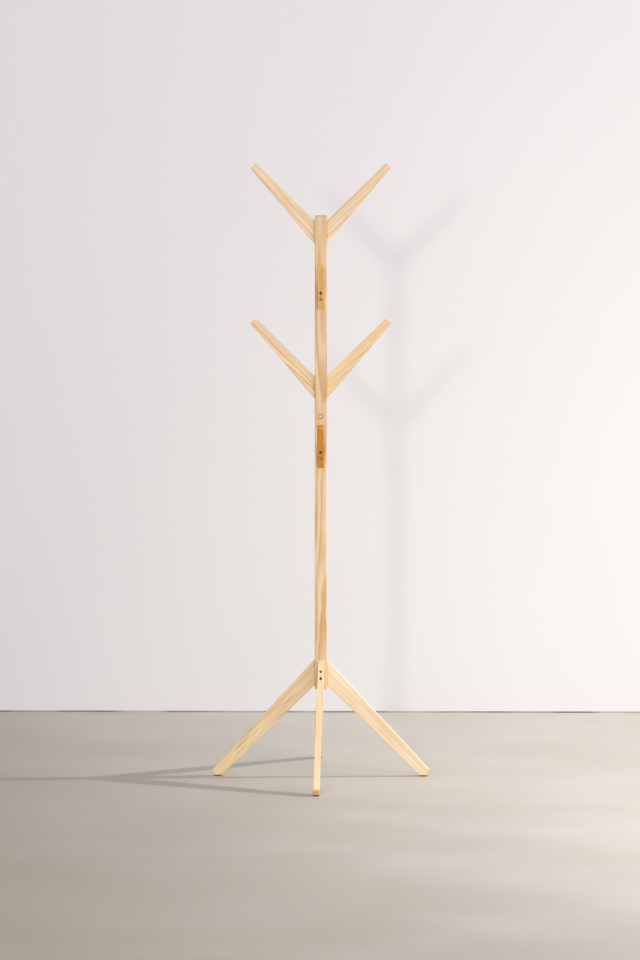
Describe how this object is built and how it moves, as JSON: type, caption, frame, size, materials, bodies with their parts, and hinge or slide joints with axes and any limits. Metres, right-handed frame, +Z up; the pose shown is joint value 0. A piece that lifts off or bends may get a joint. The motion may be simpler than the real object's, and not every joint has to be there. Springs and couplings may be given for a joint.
{
  "type": "coat rack",
  "caption": "Standing wooden coat rack: square bolted post, upswept tapered arms on every side at staggered heights, and splayed legs on felt pads.",
  "frame": {"origin": "on the floor, under the axis of the post, at the middle of the four feet", "axes": "+Z up along the post, -Y towards the front, +X to the right as seen from the front"},
  "size_m": [0.618, 0.618, 1.7489],
  "materials": {
    "post_pine": "clear satin lacquer on pine",
    "arm_pine": "clear satin lacquer on pine",
    "leg_pine": "clear satin lacquer on pine",
    "beech_dowel": "raw turned beech",
    "zinc_screw": "bright zinc plate",
    "nickel_bolt": "nickel plate",
    "felt_pad": "pressed brown felt"
  },
  "bodies": {
    "root": {"back_foot_pad": "felt_pad", "back_leg": "leg_pine", "back_leg_screw_lower": "zinc_screw", "back_leg_screw_upper": "zinc_screw", "front_foot_pad": "felt_pad", "front_leg": "leg_pine", "front_leg_screw_lower": "zinc_screw", "front_leg_screw_upper": "zinc_screw", "joining_dowel": "beech_dowel", "joint_bolt": "nickel_bolt", "joint_sleeve_nut": "nickel_bolt", "left_foot_pad": "felt_pad", "left_leg": "leg_pine", "left_leg_screw_lower": "zinc_screw", "left_leg_screw_upper": "zinc_screw", "lower_back_arm": "arm_pine", "lower_back_arm_screw_lower": "zinc_screw", "lower_back_arm_screw_upper": "zinc_screw", "lower_front_arm": "arm_pine", "lower_front_arm_screw_lower": "zinc_screw", "lower_front_arm_screw_upper": "zinc_screw", "lower_left_arm": "arm_pine", "lower_left_arm_screw_lower": "zinc_screw", "lower_left_arm_screw_upper": "zinc_screw", "lower_post": "post_pine", "lower_right_arm": "arm_pine", "lower_right_arm_screw_lower": "zinc_screw", "lower_right_arm_screw_upper": "zinc_screw", "right_foot_pad": "felt_pad", "right_leg": "leg_pine", "right_leg_screw_lower": "zinc_screw", "right_leg_screw_upper": "zinc_screw", "upper_back_arm": "arm_pine", "upper_back_arm_screw_lower": "zinc_screw", "upper_back_arm_screw_upper": "zinc_screw", "upper_front_arm": "arm_pine", "upper_front_arm_screw_lower": "zinc_screw", "upper_front_arm_screw_upper": "zinc_screw", "upper_left_arm": "arm_pine", "upper_left_arm_screw_lower": "zinc_screw", "upper_left_arm_screw_upper": "zinc_screw", "upper_post": "post_pine", "upper_right_arm": "arm_pine", "upper_right_arm_screw_lower": "zinc_screw", "upper_right_arm_screw_upper": "zinc_screw"}
  },
  "joints": []
}
